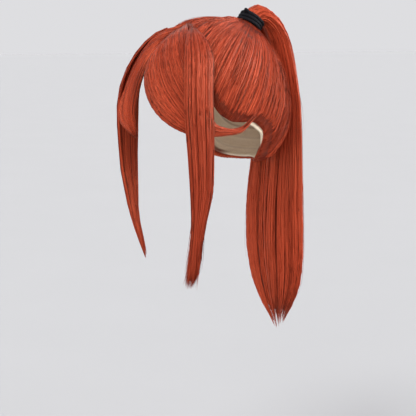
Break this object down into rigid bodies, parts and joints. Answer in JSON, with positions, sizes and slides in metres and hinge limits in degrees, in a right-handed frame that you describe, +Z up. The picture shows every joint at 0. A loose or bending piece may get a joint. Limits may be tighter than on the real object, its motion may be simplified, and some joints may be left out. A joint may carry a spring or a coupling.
{
  "type": "cosplay wig",
  "caption": "Worn-shape wig: hair combed up over an open cap to a high ponytail, with a parted fringe and long face-framing side locks.",
  "frame": {"origin": "inside of the cap's crown, where the top of the head sits", "axes": "+Z up, -Y the way the wearer faces, +X the wearer's left"},
  "size_m": [0.1885, 0.2422, 0.4251],
  "materials": {
    "cap": "cream net with a bound edge",
    "hair": "smooth synthetic fibre, softly glossy, orange-red",
    "tie": "black covered elastic"
  },
  "bodies": {
    "root": {"cap": "cap", "crown_hair": "hair", "side_hair_left": "hair", "side_hair_right": "hair", "nape_hair": "hair", "fringe_left": "hair", "fringe_right": "hair", "side_lock_left": "hair", "side_lock_right": "hair", "ponytail": "hair", "hair_tie": "tie"}
  },
  "joints": []
}
